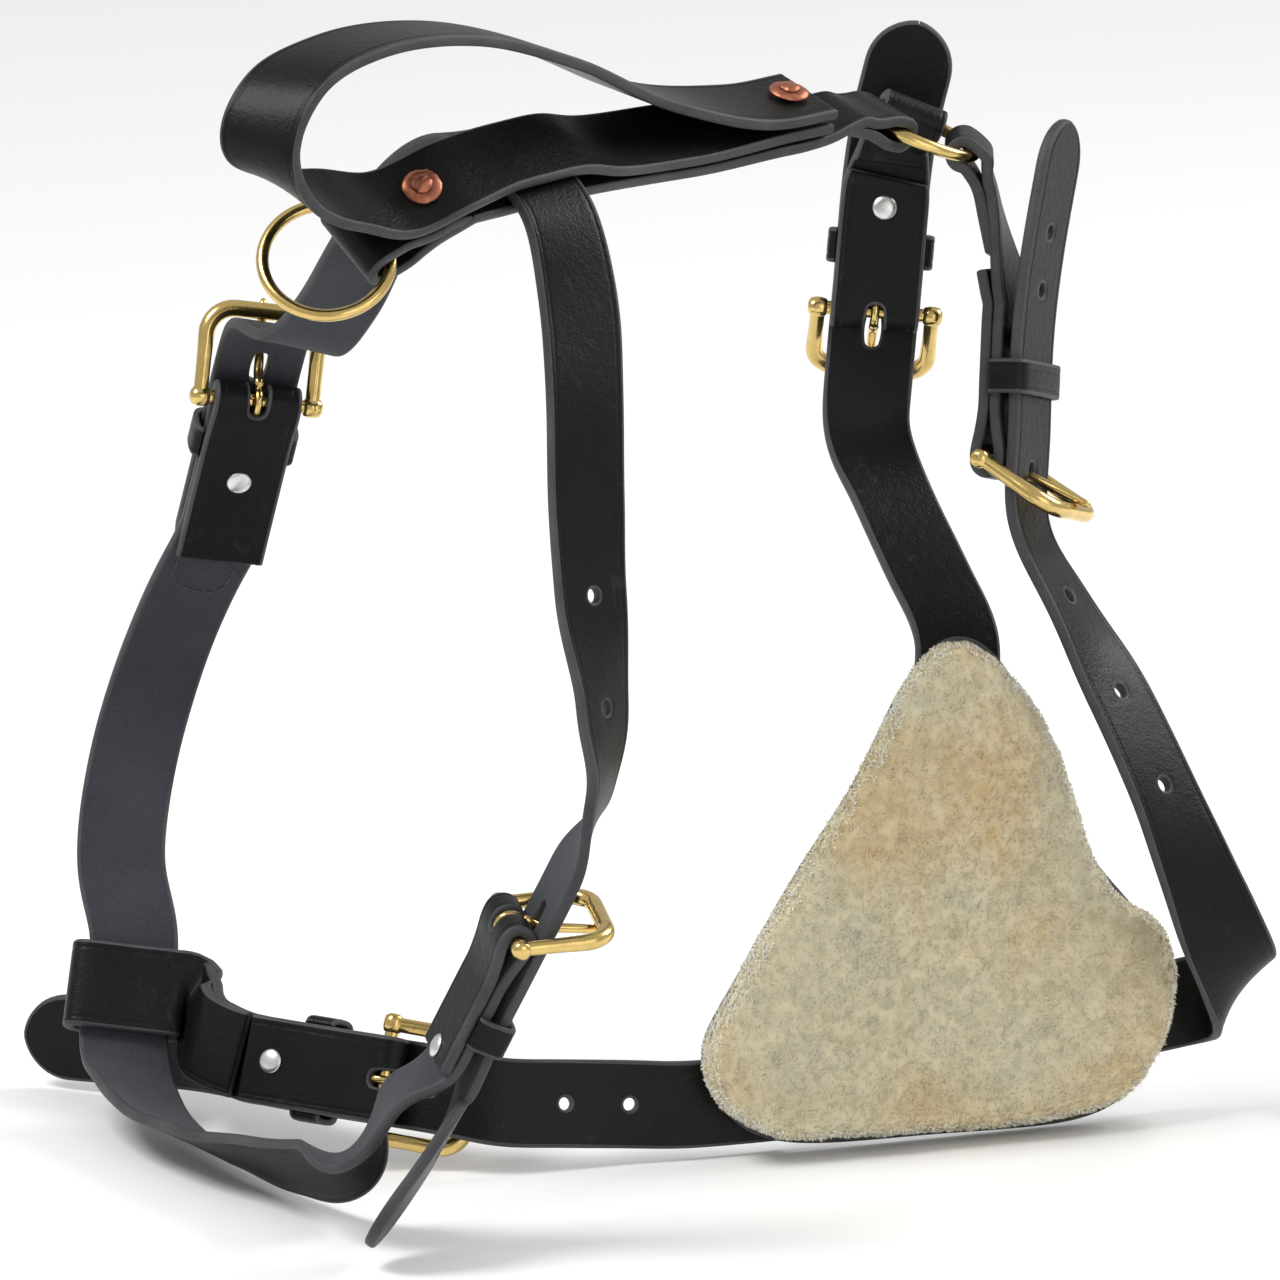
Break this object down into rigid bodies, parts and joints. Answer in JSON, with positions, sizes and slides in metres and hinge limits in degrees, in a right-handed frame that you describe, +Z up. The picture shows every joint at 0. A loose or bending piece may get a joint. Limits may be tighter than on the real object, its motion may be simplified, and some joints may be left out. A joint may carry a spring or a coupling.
{
  "type": "dog harness",
  "caption": "Leather dog walking harness with a grab handle, a sheepskin lined chest plate, brass buckles and brass leash rings.",
  "frame": {"origin": "middle of the footprint of the harness, on the table it stands on", "axes": "+X the way the dog faces, +Y the dog's left, +Z up"},
  "size_m": [0.3042, 0.2898, 0.3469],
  "materials": {
    "leather": "black waxed bridle leather, satin grain side and blue-grey flesh side",
    "keeper_leather": "black waxed leather, loose keeper loops",
    "fleece": "cream sheepskin pile",
    "brass": "polished solid brass",
    "copper": "hammered copper with dull oxide",
    "steel": "nickel plated rivet heads"
  },
  "bodies": {
    "harness": {"back_strap": "leather", "belly_rivet": "steel", "belly_strap": "leather", "belly_tab": "leather", "girth_far_rivet": "steel", "girth_near_rivet": "steel", "girth_over_strap": "leather", "girth_under_strap": "leather", "handle_burr_front": "copper", "handle_burr_rear": "copper", "handle_rivet_front": "copper", "handle_rivet_rear": "copper", "handle_strap": "leather", "neck_chape_left": "leather", "neck_chape_right": "leather", "neck_left_rivet": "steel", "neck_right_rivet": "steel", "neck_strap_left": "leather", "neck_strap_right": "leather", "plate_fleece": "fleece", "plate_leather": "leather"},
    "girth_near_frame": {"girth_near_frame": "brass"},
    "girth_near_tongue": {"girth_near_tongue": "brass"},
    "girth_near_keeper": {"girth_near_keeper": "keeper_leather"},
    "girth_far_frame": {"girth_far_frame": "brass"},
    "girth_far_tongue": {"girth_far_tongue": "brass"},
    "girth_far_keeper": {"girth_far_keeper": "keeper_leather"},
    "belly_frame": {"belly_frame": "brass"},
    "belly_tongue": {"belly_tongue": "brass"},
    "belly_keeper": {"belly_keeper": "keeper_leather"},
    "neck_left_frame": {"neck_left_frame": "brass"},
    "neck_left_tongue": {"neck_left_tongue": "brass"},
    "neck_left_keeper": {"neck_left_keeper": "keeper_leather"},
    "neck_right_frame": {"neck_right_frame": "brass"},
    "neck_right_tongue": {"neck_right_tongue": "brass"},
    "neck_right_keeper": {"neck_right_keeper": "keeper_leather"},
    "front_ring": {"front_ring": "brass"},
    "rear_ring": {"rear_ring": "brass"}
  },
  "joints": [
    {"name": "front_ring_turn", "type": "hinge", "parent": "harness", "child": "front_ring", "pos_m": [0.1103, -0.0286, 0.28195], "axis": [0.3173, -0.2347, 0.9188], "continuous": true},
    {"name": "rear_ring_swing", "type": "hinge", "parent": "harness", "child": "rear_ring", "pos_m": [-0.10134, -0.02817, 0.29022], "axis": [0.0001, -0.815, -0.5794], "range_deg": [-8, 8]},
    {"name": "girth_near_buckle", "type": "hinge", "parent": "harness", "child": "girth_near_frame", "pos_m": [-0.1037, -0.0836, 0.09695], "axis": [0.5352, 0.8317, 0.1477], "range_deg": [-3, 3]},
    {"name": "girth_near_pin", "type": "hinge", "parent": "girth_near_frame", "child": "girth_near_tongue", "pos_m": [-0.1037, -0.0836, 0.09695], "axis": [0.5352, 0.8317, 0.1477], "range_deg": [0, 5]},
    {"name": "girth_near_keeper_slide", "type": "slide", "parent": "harness", "child": "girth_near_keeper", "axis": [0.2794, -0.3393, 0.8982], "range_m": [-0.0025, 0.004]},
    {"name": "girth_far_buckle", "type": "hinge", "parent": "harness", "child": "girth_far_frame", "pos_m": [-0.0487, 0.0784, 0.20995], "axis": [-0.8215, 0.5483, 0.1563], "range_deg": [-3, 3]},
    {"name": "girth_far_pin", "type": "hinge", "parent": "girth_far_frame", "child": "girth_far_tongue", "pos_m": [-0.0487, 0.0784, 0.20995], "axis": [-0.8215, 0.5483, 0.1563], "range_deg": [0, 5]},
    {"name": "girth_far_keeper_slide", "type": "slide", "parent": "harness", "child": "girth_far_keeper", "axis": [-0.0698, -0.3688, 0.9269], "range_m": [-0.003, 0.002]},
    {"name": "belly_buckle", "type": "hinge", "parent": "harness", "child": "belly_frame", "pos_m": [-0.0647, 0.0094, 0.02545], "axis": [0.33, 0.0851, 0.9401], "range_deg": [-3, 3]},
    {"name": "belly_pin", "type": "hinge", "parent": "belly_frame", "child": "belly_tongue", "pos_m": [-0.0647, 0.0094, 0.02545], "axis": [0.33, 0.0851, 0.9401], "range_deg": [0, 4]},
    {"name": "belly_keeper_slide", "type": "slide", "parent": "harness", "child": "belly_keeper", "axis": [0.2496, -0.9684, 0], "range_m": [-0.004, 0.004]},
    {"name": "neck_left_buckle", "type": "hinge", "parent": "harness", "child": "neck_left_frame", "pos_m": [0.1128, -0.0096, 0.22395], "axis": [0.7097, -0.6988, -0.0889], "range_deg": [-3, 3]},
    {"name": "neck_left_pin", "type": "hinge", "parent": "neck_left_frame", "child": "neck_left_tongue", "pos_m": [0.1128, -0.0096, 0.22395], "axis": [0.7097, -0.6988, -0.0889], "range_deg": [0, 5]},
    {"name": "neck_left_keeper_slide", "type": "slide", "parent": "harness", "child": "neck_left_keeper", "axis": [-0.2201, -0.1, -0.9703], "range_m": [-0.003, 0.003]},
    {"name": "neck_right_buckle", "type": "hinge", "parent": "harness", "child": "neck_right_frame", "pos_m": [0.1103, -0.0646, 0.18995], "axis": [-0.8858, -0.3484, 0.3065], "range_deg": [-3, 3]},
    {"name": "neck_right_pin", "type": "hinge", "parent": "neck_right_frame", "child": "neck_right_tongue", "pos_m": [0.1103, -0.0646, 0.18995], "axis": [-0.8858, -0.3484, 0.3065], "range_deg": [0, 5]},
    {"name": "neck_right_keeper_slide", "type": "slide", "parent": "harness", "child": "neck_right_keeper", "axis": [-0.2494, -0.1995, -0.9476], "range_m": [-0.004, 0.004]}
  ]
}
